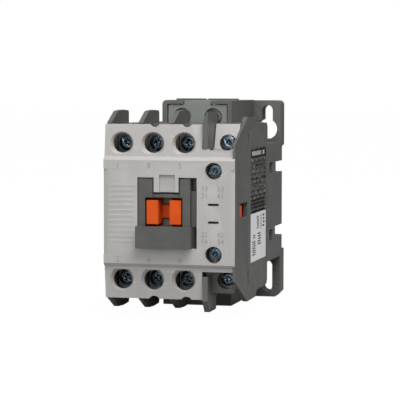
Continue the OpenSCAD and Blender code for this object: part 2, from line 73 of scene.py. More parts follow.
# ---- Camera, light and floor -------------------------------------------------------------
# A long lens a little to the right of the front and just above the contactor, soft light from
# the front and above, and a plain pale floor under the mounting plate.
camera_data = bpy.data.cameras.new("camera")
camera_data.lens = 168.35
camera_data.sensor_width = 36
camera_data.clip_start = 0.05
camera = bpy.data.objects.new("camera", camera_data)
bpy.context.scene.collection.objects.link(camera)
camera.location = (0.1568, -0.6792, 0.0451)
camera.rotation_euler = (math.radians(90 - 3.78), math.radians(-0.07), math.radians(13.70))
bpy.context.scene.camera = camera
bpy.context.scene.view_settings.view_transform = "Standard"


def soft_box(name, place, aim, size, power):
    """A square studio light that points at a place."""
    data = bpy.data.lights.new(name, "AREA")
    data.size = size
    data.energy = power
    light = bpy.data.objects.new(name, data)
    bpy.context.scene.collection.objects.link(light)
    light.location = place
    light.rotation_euler = (Vector(aim) - Vector(place)).to_track_quat("-Z", "Y").to_euler()


soft_box("key_light", (0.22, -0.33, 0.52), (0, -0.04, 0), 0.4, 3.7)
soft_box("front_fill", (-0.05, -1.1, 0.35), (0, -0.04, 0), 0.8, 3.4)

world = bpy.data.worlds.new("studio")
bpy.context.scene.world = world
world.use_nodes = True
sky = world.node_tree.nodes
sky.clear()
seen = sky.new("ShaderNodeLightPath")
direction = sky.new("ShaderNodeTexCoord")
height = sky.new("ShaderNodeSeparateXYZ")
fade = sky.new("ShaderNodeMapRange")
fade.inputs["From Min"].default_value = -0.3
fade.inputs["From Max"].default_value = 0.9
fade.inputs["To Min"].default_value = 0.08
fade.inputs["To Max"].default_value = 0.5
lit = sky.new("ShaderNodeBackground")
shown = sky.new("ShaderNodeBackground")
shown.inputs["Color"].default_value = (1, 1, 1, 1)
either = sky.new("ShaderNodeMixShader")
sky_out = sky.new("ShaderNodeOutputWorld")
world.node_tree.links.new(direction.outputs["Generated"], height.inputs[0])
world.node_tree.links.new(height.outputs["Z"], fade.inputs["Value"])
world.node_tree.links.new(fade.outputs[0], lit.inputs["Strength"])
world.node_tree.links.new(seen.outputs["Is Camera Ray"], either.inputs["Fac"])
world.node_tree.links.new(lit.outputs[0], either.inputs[1])
world.node_tree.links.new(shown.outputs[0], either.inputs[2])
world.node_tree.links.new(either.outputs[0], sky_out.inputs["Surface"])
lit.inputs["Color"].default_value = (1, 1, 1, 1)

floor_gap = 0.0002
bpy.ops.mesh.primitive_plane_add(size=8, location=(0, 0, cad_box[0][2] - floor_gap))
floor = bpy.context.object
floor.name = "floor"
floor_paint = bpy.data.materials.new("floor_paint")
floor_paint.use_nodes = True
paint = floor_paint.node_tree
matt = paint.nodes["Principled BSDF"]
matt.inputs["Base Color"].default_value = (0.3, 0.3, 0.3, 1)
matt.inputs["Roughness"].default_value = 0.9
glow = paint.nodes.new("ShaderNodeEmission")
glow.inputs["Strength"].default_value = 1.06
direct = paint.nodes.new("ShaderNodeLightPath")
share = paint.nodes.new("ShaderNodeMath")
share.operation = "MULTIPLY"
share.inputs[1].default_value = 0.93
blend = paint.nodes.new("ShaderNodeMixShader")
paint.links.new(direct.outputs["Is Camera Ray"], share.inputs[0])
paint.links.new(share.outputs[0], blend.inputs["Fac"])
paint.links.new(matt.outputs[0], blend.inputs[1])
paint.links.new(glow.outputs[0], blend.inputs[2])
paint.links.new(blend.outputs[0], paint.nodes["Material Output"].inputs["Surface"])
floor.data.materials.append(floor_paint)


# ---- Base housing ------------------------------------------------------------------------
# The rear shell with the mounting plate, moulded in dark grey glass-filled polyamide. It has
# a fine spark-eroded grain, soft edges, and lies against the panel or over the rail.
MM = 0.001
MERGE_GAP = 0.000004


def select_only(piece):
    bpy.ops.object.select_all(action="DESELECT")
    piece.select_set(True)
    bpy.context.view_layer.objects.active = piece


def clean_copy(node, name):
    """A copy of a CAD node with its loose triangles merged into faces."""
    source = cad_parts[node]
    piece = bpy.data.objects.new(name, source.data.copy())
    piece.data.materials.clear()
    bpy.context.scene.collection.objects.link(piece)
    select_only(piece)
    bpy.ops.object.mode_set(mode="EDIT")
    bpy.ops.mesh.select_all(action="SELECT")
    bpy.ops.mesh.remove_doubles(threshold=MERGE_GAP)
    bpy.ops.mesh.dissolve_limited(angle_limit=math.radians(0.5))
    bpy.ops.object.mode_set(mode="OBJECT")
    return piece


def soften(piece, width, segments=2, angle=30):
    """Rounds every sharp edge of a piece, as a mould does."""
    select_only(piece)
    bevel = piece.modifiers.new("soft_edges", "BEVEL")
    bevel.width = width
    bevel.segments = segments
    bevel.limit_method = "ANGLE"
    bevel.angle_limit = math.radians(angle)
    bevel.use_clamp_overlap = True
    bevel.harden_normals = False
    bpy.ops.object.modifier_apply(modifier=bevel.name)
    bpy.ops.object.shade_smooth_by_angle(angle=math.radians(40))
    flat = piece.modifiers.new("flat_faces", "WEIGHTED_NORMAL")
    flat.keep_sharp = True
    flat.weight = 100
    bpy.ops.object.modifier_apply(modifier=flat.name)


def new_group(name, numbers, colours, outputs):
    """An empty shader node group with named sockets."""
    group = bpy.data.node_groups.new(name, "ShaderNodeTree")
    for socket, value in colours.items():
        made = group.interface.new_socket(socket, in_out="INPUT", socket_type="NodeSocketColor")
        made.default_value = (*value, 1)
    for socket, value in numbers.items():
        made = group.interface.new_socket(socket, in_out="INPUT", socket_type="NodeSocketFloat")
        made.default_value = value
    for socket, kind in outputs.items():
        group.interface.new_socket(socket, in_out="OUTPUT", socket_type=kind)
    return group, group.nodes.new("NodeGroupInput"), group.nodes.new("NodeGroupOutput")


def noise(tree, vector, scale, detail=3.0, rough=0.5):
    """A noise texture on the given coordinates; scale is a number or a socket."""
    node = tree.nodes.new("ShaderNodeTexNoise")
    node.inputs["Detail"].default_value = detail
    node.inputs["Roughness"].default_value = rough
    tree.links.new(vector, node.inputs["Vector"])
    if isinstance(scale, (int, float)):
        node.inputs["Scale"].default_value = scale
    else:
        tree.links.new(scale, node.inputs["Scale"])
    return node.outputs["Fac"]


def maths(tree, operation, a, b=0.0, clamp=False):
    node = tree.nodes.new("ShaderNodeMath")
    node.operation = operation
    node.use_clamp = clamp
    for socket, value in zip(node.inputs, (a, b)):
        if isinstance(value, (int, float)):
            socket.default_value = value
        else:
            tree.links.new(value, socket)
    return node.outputs[0]


def spread(tree, value, low, high, to_low, to_high):
    """Maps a value from one range to another, clamped."""
    node = tree.nodes.new("ShaderNodeMapRange")
    tree.links.new(value, node.inputs["Value"])
    for socket, number in (("From Min", low), ("From Max", high)):
        node.inputs[socket].default_value = number
    for socket, number in (("To Min", to_low), ("To Max", to_high)):
        if isinstance(number, (int, float)):
            node.inputs[socket].default_value = number
        else:
            tree.links.new(number, node.inputs[socket])
    return node.outputs[0]


def blend_colours(tree, factor, first, second):
    node = tree.nodes.new("ShaderNodeMix")
    node.data_type = "RGBA"
    for name, value in (("Factor", factor), ("A", first), ("B", second)):
        socket = node.inputs[name]
        if isinstance(value, tuple):
            socket.default_value = (*value, 1)
        elif isinstance(value, (int, float)):
            socket.default_value = value
        else:
            tree.links.new(value, socket)
    return node.outputs["Result"]


def build_moulded_skin():
    """Colour, gloss and relief of a moulded thermoplastic: flow mottle, grain and a painted edge highlight.
    """
    group, given, out = new_group(
        "moulded_skin",
        {"Grain scale": 2600.0, "Mottle": 0.06, "Roughness": 0.5, "Painted edge highlight": 0.25},
        {"Colour": (0.1, 0.1, 0.1), "Edge highlight colour": (0.2, 0.2, 0.2)},
        {"Colour": "NodeSocketColor", "Roughness": "NodeSocketFloat", "Height": "NodeSocketFloat"},
    )
    place = group.nodes.new("ShaderNodeTexCoord").outputs["Object"]
    flow = noise(group, place, 55.0, 4.0)
    cloud = noise(group, place, 210.0, 2.0)
    grain = noise(group, place, given.outputs["Grain scale"], 2.0, 0.6)
    shade = maths(group, "ADD", maths(group, "MULTIPLY", flow, 0.7), maths(group, "MULTIPLY", cloud, 0.3))
    shade = maths(group, "SUBTRACT", shade, 0.5)
    shade = maths(group, "ADD", maths(group, "MULTIPLY", shade, given.outputs["Mottle"]), 1.0)
    tone = group.nodes.new("ShaderNodeHueSaturation")
    group.links.new(given.outputs["Colour"], tone.inputs["Color"])
    group.links.new(shade, tone.inputs["Value"])
    # Painted highlight: sharp edges, found by pointiness, are mixed in patches towards a lighter colour and
    # made a little glossier.
    point = group.nodes.new("ShaderNodeNewGeometry").outputs["Pointiness"]
    edge = spread(group, point, 0.52, 0.6, 0.0, given.outputs["Painted edge highlight"])
    edge = maths(group, "MULTIPLY", edge, spread(group, cloud, 0.35, 0.65, 0.4, 1.0))
    edge_highlight = blend_colours(group, edge, tone.outputs["Color"], given.outputs["Edge highlight colour"])
    group.links.new(edge_highlight, out.inputs["Colour"])
    uneven = maths(group, "MULTIPLY", maths(group, "SUBTRACT", flow, 0.5), 0.16)
    gloss = maths(group, "ADD", given.outputs["Roughness"], uneven)
    gloss = maths(group, "SUBTRACT", gloss, maths(group, "MULTIPLY", edge, 0.15), clamp=True)
    group.links.new(gloss, out.inputs["Roughness"])
    group.links.new(grain, out.inputs["Height"])
    return group


moulded_skin = build_moulded_skin()


# The second colour given is a painted highlight on sharp edges; the eighth argument sets its strength.
def plastic(name, colour, edge_highlight, roughness, grain=2600.0, relief=0.00003, mottle=0.12, edge_highlight_share=0.3, shine=0.5):
    """A moulded plastic material built on the moulded_skin group."""
    material = bpy.data.materials.new(name)
    material.use_nodes = True
    tree = material.node_tree
    surface = tree.nodes["Principled BSDF"]
    surface.inputs["Specular IOR Level"].default_value = shine
    skin = tree.nodes.new("ShaderNodeGroup")
    skin.node_tree = moulded_skin
    skin.inputs["Colour"].default_value = (*colour, 1)
    skin.inputs["Edge highlight colour"].default_value = (*edge_highlight, 1)
    skin.inputs["Grain scale"].default_value = grain
    skin.inputs["Mottle"].default_value = mottle
    skin.inputs["Roughness"].default_value = roughness
    skin.inputs["Painted edge highlight"].default_value = edge_highlight_share
    bump = tree.nodes.new("ShaderNodeBump")
    bump.inputs["Strength"].default_value = 0.35
    bump.inputs["Distance"].default_value = relief
    tree.links.new(skin.outputs["Colour"], surface.inputs["Base Color"])
    tree.links.new(skin.outputs["Roughness"], surface.inputs["Roughness"])
    tree.links.new(skin.outputs["Height"], bump.inputs["Height"])
    tree.links.new(bump.outputs["Normal"], surface.inputs["Normal"])
    return material


def finish_piece(piece, material, slot, body, *nodes):
    """Gives a made piece its material, its body, and the CAD nodes it stands for. The slot is not used."""
    piece.data.materials.clear()
    piece.data.materials.append(material)
    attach(piece, body)
    if nodes:
        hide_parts(*nodes)


dark_polyamide = plastic("dark_polyamide", (0.095, 0.095, 0.088), (0.19, 0.19, 0.18), 0.46)

base_shell = clean_copy("base_housing", "base_shell")
soften(base_shell, 0.22 * MM)
finish_piece(base_shell, dark_polyamide, "dark_housing", "frame", "base_housing")


# ---- Magnet ------------------------------------------------------------------------------
# A stack of silicon-steel E laminations with copper short-circuit rings in its ground pole
# faces. It rests on a rubber cushion on the floor of the base.
def build_metal_skin():
    """Colour, gloss and relief of sheet or drawn metal: fine scratches, stains and a painted edge glint."""
    group, given, out = new_group(
        "metal_skin",
        {"Scratch scale": 900.0, "Stain": 0.25, "Roughness": 0.3, "Painted edge glint": 0.3},
        {"Colour": (0.5, 0.5, 0.5), "Stain colour": (0.3, 0.3, 0.3)},
        {"Colour": "NodeSocketColor", "Roughness": "NodeSocketFloat", "Height": "NodeSocketFloat"},
    )
    place = group.nodes.new("ShaderNodeTexCoord").outputs["Object"]
    stretch = group.nodes.new("ShaderNodeMapping")
    stretch.inputs["Scale"].default_value = (0.12, 1.0, 1.0)
    group.links.new(place, stretch.inputs["Vector"])
    scratch = noise(group, stretch.outputs["Vector"], given.outputs["Scratch scale"], 3.0, 0.65)
    blotch = noise(group, place, 260.0, 4.0, 0.6)
    stain = maths(group, "MULTIPLY", spread(group, blotch, 0.4, 0.7, 0.0, 1.0), given.outputs["Stain"])
    coloured = blend_colours(group, stain, given.outputs["Colour"], given.outputs["Stain colour"])
    # Painted highlight: sharp edges, found by pointiness, are mixed towards a near-white glint colour.
    point = group.nodes.new("ShaderNodeNewGeometry").outputs["Pointiness"]
    edge = maths(group, "MULTIPLY", spread(group, point, 0.52, 0.62, 0.0, 1.0), given.outputs["Painted edge glint"])
    group.links.new(blend_colours(group, edge, coloured, (0.85, 0.86, 0.88)), out.inputs["Colour"])
    gloss = maths(group, "ADD", given.outputs["Roughness"], maths(group, "MULTIPLY", stain, 0.3))
    streaks = maths(group, "MULTIPLY", maths(group, "SUBTRACT", scratch, 0.5), 0.15)
    gloss = maths(group, "ADD", gloss, streaks, clamp=True)
    group.links.new(gloss, out.inputs["Roughness"])
    group.links.new(scratch, out.inputs["Height"])
    return group


metal_skin = build_metal_skin()


# The last argument sets the strength of the painted glint on sharp edges.
def metal(name, colour, stain_colour, roughness, stain=0.25, scratch=900.0, shine=0.3):
    """A metal material built on the metal_skin group."""
    material = bpy.data.materials.new(name)
    material.use_nodes = True
    tree = material.node_tree
    surface = tree.nodes["Principled BSDF"]
    surface.inputs["Metallic"].default_value = 1.0
    skin = tree.nodes.new("ShaderNodeGroup")
    skin.node_tree = metal_skin
    skin.inputs["Colour"].default_value = (*colour, 1)
    skin.inputs["Stain colour"].default_value = (*stain_colour, 1)
    skin.inputs["Scratch scale"].default_value = scratch
    skin.inputs["Stain"].default_value = stain
    skin.inputs["Roughness"].default_value = roughness
    skin.inputs["Painted edge glint"].default_value = shine
    bump = tree.nodes.new("ShaderNodeBump")
    bump.inputs["Strength"].default_value = 0.3
    bump.inputs["Distance"].default_value = 0.00002
    tree.links.new(skin.outputs["Colour"], surface.inputs["Base Color"])
    tree.links.new(skin.outputs["Roughness"], surface.inputs["Roughness"])
    tree.links.new(skin.outputs["Height"], bump.inputs["Height"])
    tree.links.new(bump.outputs["Normal"], surface.inputs["Normal"])
    return material


def keep_node(node, material):
    """Leaves a CAD node showing and gives it a finish."""
    shown_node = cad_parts[node]
    shown_node.data.materials.clear()
    shown_node.data.materials.append(material)


lamination_steel = metal("lamination_steel", (0.36, 0.35, 0.34), (0.2, 0.17, 0.15), 0.42, 0.4, 1800.0)
ring_copper = metal("ring_copper", (0.75, 0.4, 0.26), (0.4, 0.2, 0.14), 0.32)

core_stack = clean_copy("fixed_core", "core_stack")
soften(core_stack, 0.15 * MM)
finish_piece(core_stack, lamination_steel, "lamination_steel", "frame", "fixed_core")
keep_node("shading_rings", ring_copper)

cushion_rubber = plastic("cushion_rubber", (0.02, 0.02, 0.02), (0.05, 0.05, 0.05), 0.8, 1800.0, 0.00006)
keep_node("core_cushion", cushion_rubber)


# ---- Coil --------------------------------------------------------------------------------
# A bobbin of light grey-green polyamide with the block for the two coil terminals on top, and
# thousands of turns of fine wire under a lapped tape. It drops into the base over the core.
bobbin_plastic = plastic("bobbin_plastic", (0.195, 0.21, 0.198), (0.3, 0.32, 0.3), 0.48, mottle=0.18)

bobbin = clean_copy("coil_bobbin", "bobbin")
soften(bobbin, 0.25 * MM)
finish_piece(bobbin, bobbin_plastic, "bobbin_plastic", "frame", "coil_bobbin")

winding_tape = plastic("winding_tape", (0.42, 0.2, 0.035), (0.6, 0.35, 0.1), 0.28, 900.0, 0.00005)
winding = clean_copy("coil_winding", "winding")
soften(winding, 0.3 * MM, 3)
winding_low, winding_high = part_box("coil_winding")
for lap in range(1, 4):
    share = lap / 4
    lap_y = winding_low.y + (winding_high.y - winding_low.y) * share
    select_only(winding)
    bpy.ops.object.mode_set(mode="EDIT")
    bpy.ops.mesh.select_all(action="SELECT")
    bpy.ops.mesh.bisect(plane_co=(0, lap_y, 0), plane_no=(0, 1, 0))
    bpy.ops.transform.shrink_fatten(value=-0.12 * MM)
    bpy.ops.object.mode_set(mode="OBJECT")
finish_piece(winding, winding_tape, "winding_tape", "frame", "coil_winding")

terminal_brass = metal("terminal_brass", (0.68, 0.52, 0.24), (0.35, 0.24, 0.1), 0.3)
for letter in ("a1", "a2"):
    terminal = clean_copy("coil_terminal_" + letter, "coil_strip_" + letter)
    soften(terminal, 0.12 * MM)
    finish_piece(terminal, terminal_brass, "brass_terminal", "frame", "coil_terminal_" + letter)


# ---- Main housing ------------------------------------------------------------------------
# The front shell in the same dark polyamide. Its phase barriers stand above and below the
# terminals, and two legs on each side snap into the windows of the base.
main_shell = clean_copy("main_housing", "main_shell")
soften(main_shell, 0.2 * MM)
finish_piece(main_shell, dark_polyamide, "dark_housing", "frame", "main_housing")


# ---- Fixed contacts ----------------------------------------------------------------------
# Stamped copper strips with a tapped pad under each terminal screw and a silver-alloy tip
# brazed on the inner end. They are pushed into the deck of the main housing.
strip_copper = metal("strip_copper", (0.68, 0.38, 0.24), (0.34, 0.17, 0.1), 0.34, 0.35)
tip_silver = metal("tip_silver", (0.78, 0.77, 0.74), (0.4, 0.38, 0.34), 0.38, 0.3)

fixed_strips = [side + "_contact_%d" % pole for side in ("line", "load") for pole in (1, 2, 3)]
fixed_strips += [kind + "_contact_" + end for kind in ("no", "nc") for end in ("upper", "lower")]
for node in fixed_strips:
    strip = clean_copy(node, node + "_strip")
    soften(strip, 0.15 * MM)
    finish_piece(strip, strip_copper, "contact_copper", "frame", node)

for node in ("fixed_contact_tips", "aux_fixed_tips"):
    tips = clean_copy(node, node + "_brazed")
    soften(tips, 0.18 * MM)
    finish_piece(tips, tip_silver, "silver_tip", "frame", node)


# ---- Clamp washers -----------------------------------------------------------------------
# Square zinc-plated steel washers, one under each screw head. They are stamped, so one side
# has a soft edge, and they press the wire on the strip.
washer_zinc = metal("washer_zinc", (0.3, 0.33, 0.35), (0.15, 0.17, 0.19), 0.32, 0.4)

for node in ("main_clamp_washers", "aux_clamp_washers", "coil_clamp_washers"):
    washers = clean_copy(node, node + "_stamped")
    soften(washers, 0.22 * MM)
    finish_piece(washers, washer_zinc, "zinc_washer", "frame", node)


# ---- Terminal screws ---------------------------------------------------------------------
# Pan-head combination screws, cold-headed steel with a blue zinc finish. The head has a cross
# recess with a slot through it, and a captive thread below that runs into the strip.
SCREW_SCRATCH = 1400.0
screw_zinc = metal("screw_zinc", (0.09, 0.13, 0.16), (0.04, 0.06, 0.08), 0.25, 0.5, SCREW_SCRATCH, 0.75)


def solids_of(node):
    """The lowest and highest corners of each separate solid in a CAD node."""
    mesh = bmesh.new()
    mesh.from_mesh(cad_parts[node].data)
    bmesh.ops.remove_doubles(mesh, verts=mesh.verts, dist=MERGE_GAP)
    left = set(mesh.verts)
    found = []
    while left:
        front = [left.pop()]
        corners = []
        while front:
            vert = front.pop()
            corners.append(vert.co.copy())
            for edge in vert.link_edges:
                other = edge.other_vert(vert)
                if other in left:
                    left.remove(other)
                    front.append(other)
        low = Vector(min(c[axis] for c in corners) for axis in range(3))
        high = Vector(max(c[axis] for c in corners) for axis in range(3))
        found.append((low, high))
    mesh.free()
    return sorted(found, key=lambda pair: (round(pair[0].z, 5), round(pair[0].x, 5)))


def cut_away(piece, cutter):
    """Subtracts a cutter from a piece and throws the cutter away."""
    select_only(piece)
    hole = piece.modifiers.new("cut", "BOOLEAN")
    hole.operation = "DIFFERENCE"
    hole.solver = "EXACT"
    hole.object = cutter
    bpy.ops.object.modifier_apply(modifier=hole.name)
    bpy.data.objects.remove(cutter)


def join_to(piece, *others):
    select_only(piece)
    for other in others:
        other.select_set(True)
    bpy.ops.object.join()
    return piece


def settle(piece):
    """Puts a piece's place into its mesh and turns its faces outwards."""
    select_only(piece)
    bpy.ops.object.transform_apply(location=True, rotation=True, scale=True)
    bpy.ops.object.mode_set(mode="EDIT")
    bpy.ops.mesh.select_all(action="SELECT")
    bpy.ops.mesh.remove_doubles(threshold=0.000002)
    bpy.ops.mesh.normals_make_consistent(inside=False)
    bpy.ops.object.mode_set(mode="OBJECT")


def add_box(name, low, high):
    """A box between two corners."""
    middle = [(a + b) / 2 for a, b in zip(low, high)]
    bpy.ops.mesh.primitive_cube_add(size=1, location=middle)
    box = bpy.context.object
    box.name = name
    box.scale = [b - a for a, b in zip(low, high)]
    select_only(box)
    bpy.ops.object.transform_apply(location=True, rotation=True, scale=True)
    return box


def make_screw(name, head_r, head_h, shank_r, length):
    """One screw with its head's top at the origin, facing -Y, and its shank along +Y."""
    bpy.ops.mesh.primitive_cylinder_add(vertices=40, radius=head_r, depth=head_h)
    head = bpy.context.object
    head.name = name
    bpy.ops.object.mode_set(mode="EDIT")
    mesh = bmesh.from_edit_mesh(head.data)
    for face in mesh.faces:
        face.select = face.normal.z > 0.9
    bmesh.update_edit_mesh(head.data)
    bpy.ops.mesh.inset(thickness=head_r * 0.16, depth=0)
    bpy.ops.transform.translate(value=(0, 0, head_h * 0.1))
    bpy.ops.mesh.inset(thickness=head_r * 0.3, depth=0)
    bpy.ops.transform.translate(value=(0, 0, head_h * 0.06))
    bpy.ops.object.mode_set(mode="OBJECT")
    head.data.transform(Matrix.Translation((0, 0, -head_h * 0.66)))
    soften(head, head_r * 0.07, 3, 50)

    bar = head_r * 0.22
    arms = add_box("cutter", (-head_r * 0.62, -bar, -head_h * 0.5), (head_r * 0.62, bar, head_h))
    select_only(arms)
    bpy.ops.object.mode_set(mode="EDIT")
    mesh = bmesh.from_edit_mesh(arms.data)
    for face in mesh.faces:
        face.select = face.normal.z < -0.9
    bmesh.update_edit_mesh(arms.data)
    bpy.ops.transform.resize(value=(0.45, 0.6, 1))
    bpy.ops.object.mode_set(mode="OBJECT")
    crossed = arms.copy()
    crossed.data = arms.data.copy()
    bpy.context.scene.collection.objects.link(crossed)
    crossed.rotation_euler = (0, 0, math.radians(90))
    bpy.ops.mesh.primitive_cone_add(
        vertices=16,
        radius1=0.02 * MM,
        radius2=head_r * 0.42,
        depth=head_h * 0.9,
        location=(0, 0, -head_h * 0.05),
    )
    dimple = bpy.context.object
    reach = head_r * 1.2
    half_slot = head_r * 0.13
    slot = add_box("cutter", (-reach, -half_slot, -head_h * 0.16), (reach, half_slot, head_h))
    for cutter in (arms, crossed, dimple, slot):
        cut_away(head, cutter)

    bpy.ops.mesh.primitive_cylinder_add(
        vertices=24, radius=shank_r * 0.86, depth=length, location=(0, 0, -head_h - length / 2 + 0.1 * MM)
    )
    shank = bpy.context.object
    pitch = shank_r * 0.36
    threads = int(length * 0.8 / pitch)
    bpy.ops.mesh.primitive_circle_add(vertices=3, radius=pitch * 0.62)
    thread = bpy.context.object
    thread.rotation_euler = (math.radians(90), 0, 0)
    thread.location = (shank_r * 0.84, 0, -head_h - length * 0.95)
    select_only(thread)
    bpy.ops.object.transform_apply(location=True, rotation=True, scale=True)
    wind = thread.modifiers.new("wind", "SCREW")
    wind.screw_offset = pitch
    wind.iterations = threads
    wind.steps = 20
    wind.render_steps = 20
    bpy.ops.object.modifier_apply(modifier=wind.name)
    bpy.ops.object.mode_set(mode="EDIT")
    bpy.ops.mesh.select_all(action="DESELECT")
    bpy.ops.mesh.select_non_manifold(
        extend=False,
        use_wire=False,
        use_multi_face=False,
        use_non_contiguous=False,
        use_verts=False,
    )
    bpy.ops.mesh.edge_face_add()
    bpy.ops.object.mode_set(mode="OBJECT")
    join_to(head, shank, thread)
    head.rotation_euler = (math.radians(90), 0, 0)
    settle(head)
    bpy.ops.object.shade_smooth_by_angle(angle=math.radians(35))
    return head


def place_screws(node, name, material, head_r, head_heights, shank_r):
    """Puts a screw on each solid of a CAD node; head heights run from the longest screw down."""
    places = solids_of(node)
    lengths = sorted({round((high.y - low.y) / MM, 1) for low, high in places}, reverse=True)
    patterns = {}
    for length, head_h in zip(lengths, head_heights):
        patterns[length] = make_screw(name, head_r, head_h, shank_r, length * MM - head_h)
    placed = []
    for count, (low, high) in enumerate(places):
        screw = patterns[round((high.y - low.y) / MM, 1)].copy()
        screw.data = screw.data.copy()
        bpy.context.scene.collection.objects.link(screw)
        screw.rotation_euler = (0, math.radians(23 + 67 * count), 0)
        screw.location = ((low.x + high.x) / 2, low.y, (low.z + high.z) / 2)
        placed.append(screw)
    for pattern in patterns.values():
        bpy.data.objects.remove(pattern)
    group = join_to(placed[0], *placed[1:])
    group.name = name
    settle(group)
    finish_piece(group, material, "zinc_screw", "frame", node)


# The main screws sit deep in their holes, so their zinc is painted darker than the other screws' as shade,
# with a stronger painted edge glint.
shaded_zinc = metal("shaded_zinc", (0.055, 0.08, 0.1), (0.02, 0.03, 0.04), 0.24, 0.5, SCREW_SCRATCH, 0.9)
dull_zinc = metal("dull_zinc", (0.2, 0.22, 0.21), (0.1, 0.11, 0.11), 0.42, 0.5, SCREW_SCRATCH, 0.3)
place_screws("main_terminal_screws", "main_screws", shaded_zinc, 2.9 * MM, [3.0 * MM], 1.9 * MM)
place_screws("aux_terminal_screws", "aux_screws", screw_zinc, 2.4 * MM, [2.4 * MM, 1.7 * MM], 1.6 * MM)
place_screws("coil_terminal_screws", "coil_screws", dull_zinc, 2.6 * MM, [2.4 * MM], 1.5 * MM)


# ---- Contact carrier ---------------------------------------------------------------------
# One orange moulding that the armature pulls back. Its head shows in the front window, its
# side lugs show in the side windows, and its cross-beam holds the moving bridges.
carrier_orange = plastic(
    "carrier_orange", (0.68, 0.07, 0.002), (0.8, 0.16, 0.02), 0.42, 1800.0, 0.00002, 0.1, 0.3, 0.2
)

carrier = clean_copy("contact_carrier", "carrier_moulding")
soften(carrier, 0.22 * MM, 3)
finish_piece(carrier, carrier_orange, "orange_carrier", "carrier", "contact_carrier")


# ---- Armature ----------------------------------------------------------------------------
# A second E stack, held in the carrier's yoke by a steel pin. The coil pulls it on to the
# fixed core, and two springs on the bobbin push it back.
armature_stack = clean_copy("armature", "armature_stack")
soften(armature_stack, 0.15 * MM)
finish_piece(armature_stack, lamination_steel, "lamination_steel", "carrier", "armature")

pin = clean_copy("armature_pin", "yoke_pin")
soften(pin, 0.25 * MM, 3)
finish_piece(pin, washer_zinc, "zinc_washer", "carrier", "armature_pin")


# ---- Moving bridges ----------------------------------------------------------------------
# Copper bars with a silver-alloy tip on each end, one for each pole and two small ones for
# the auxiliary contacts. Each floats in a window of the carrier against its own spring.
for pole in (1, 2, 3):
    bar_piece = clean_copy("contact_bridge_%d" % pole, "bridge_bar_%d" % pole)
    soften(bar_piece, 0.15 * MM)
    finish_piece(bar_piece, strip_copper, "contact_copper", "bridge_%d" % pole, "contact_bridge_%d" % pole)
    bar_tips = clean_copy("bridge_tips_%d" % pole, "bridge_tips_%d_brazed" % pole)
    soften(bar_tips, 0.18 * MM)
    finish_piece(bar_tips, tip_silver, "silver_tip", "bridge_%d" % pole, "bridge_tips_%d" % pole)

for node in ("no_bridge", "nc_bridge"):
    small_bar = clean_copy(node, node + "_bar")
    soften(small_bar, 0.12 * MM)
    finish_piece(small_bar, strip_copper, "contact_copper", node, node)


# ---- Springs -----------------------------------------------------------------------------
# Hard-drawn steel wire with closed ends. Each contact spring presses its bridge, the two
# return springs push the armature forward, and one small spring holds the rail latch up.
spring_wire = metal("spring_wire", (0.36, 0.36, 0.37), (0.16, 0.15, 0.14), 0.28, 0.25, 1600.0)


def make_spring(name, start, end, coil_r, wire_r, turns):
    """A helical spring between two points on an axis, closed by one dead turn at each end."""
    start, end = Vector(start), Vector(end)
    along = end - start
    dead = 1.0
    low = wire_r
    high = along.length - wire_r
    steps = 28
    path = []
    total = turns + 2 * dead
    closed_rise = 2 * wire_r
    for step in range(int(total * steps) + 1):
        turn = step / steps
        if turn < dead:
            rise = low + closed_rise * turn / dead
        elif turn > total - dead:
            rise = high - closed_rise * (total - turn) / dead
        else:
            rise = low + closed_rise + (high - low - 2 * closed_rise) * (turn - dead) / turns
        angle = 2 * math.pi * turn
        path.append((coil_r * math.cos(angle), coil_r * math.sin(angle), rise))
    curve = bpy.data.curves.new(name, "CURVE")
    curve.dimensions = "3D"
    curve.bevel_depth = wire_r
    curve.bevel_resolution = 3
    curve.use_fill_caps = True
    line = curve.splines.new("POLY")
    line.points.add(len(path) - 1)
    for point, place in zip(line.points, path):
        point.co = (*place, 1)
    spring = bpy.data.objects.new(name, curve)
    bpy.context.scene.collection.objects.link(spring)
    spring.rotation_euler = along.to_track_quat("Z", "Y").to_euler()
    spring.location = start
    select_only(spring)
    bpy.ops.object.convert(target="MESH")
    settle(bpy.context.object)
    bpy.ops.object.shade_smooth_by_angle(angle=math.radians(60))
    return bpy.context.object


def along_y(node):
    """The ends of a spring that lies along Y inside a CAD node's box."""
    low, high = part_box(node)
    middle_x = (low.x + high.x) / 2
    middle_z = (low.z + high.z) / 2
    return (middle_x, low.y, middle_z), (middle_x, high.y, middle_z)


for node, joint_name in (
    ("contact_spring_1", "bridge_1_overtravel"),
    ("contact_spring_2", "bridge_2_overtravel"),
    ("contact_spring_3", "bridge_3_overtravel"),
    ("no_spring", "no_bridge_overtravel"),
):
    near, far = along_y(node)
    coil_r, wire_r = (1.9 * MM, 0.3 * MM) if node.startswith("contact") else (1.4 * MM, 0.22 * MM)
    spring = make_spring(node + "_wire", near, far, coil_r, wire_r, 3.5)
    finish_piece(spring, spring_wire, "spring_steel", "carrier", node)
    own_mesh(spring)

near, far = along_y("nc_spring")
nc_wire = make_spring("nc_spring_wire", near, far, 1.4 * MM, 0.22 * MM, 4)
nc_wire.data.materials.append(spring_wire)
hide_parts("nc_spring")
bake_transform(nc_wire)

return_wires = []
for low, high in solids_of("return_springs"):
    middle = ((low.x + high.x) / 2, (low.z + high.z) / 2)
    near, far = (middle[0], low.y, middle[1]), (middle[0], high.y, middle[1])
    return_wires.append(make_spring("return_wire", near, far, 2.0 * MM, 0.3 * MM, 3))
return_pair = join_to(return_wires[0], return_wires[1])
return_pair.name = "return_spring_wires"
finish_piece(return_pair, spring_wire, "spring_steel", "frame", "return_springs")
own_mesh(return_pair)


# ---- Rail latch --------------------------------------------------------------------------
# A black polyamide slide in the back of the base, with a screwdriver slot at its foot. A
# small spring pushes it up, so that its lip grips the lower edge of the rail.
latch_black = plastic("latch_black", (0.035, 0.035, 0.036), (0.12, 0.12, 0.12), 0.42)

latch = clean_copy("rail_latch", "latch_slide")
soften(latch, 0.22 * MM)
finish_piece(latch, latch_black, "latch_plastic", "rail_latch", "rail_latch")

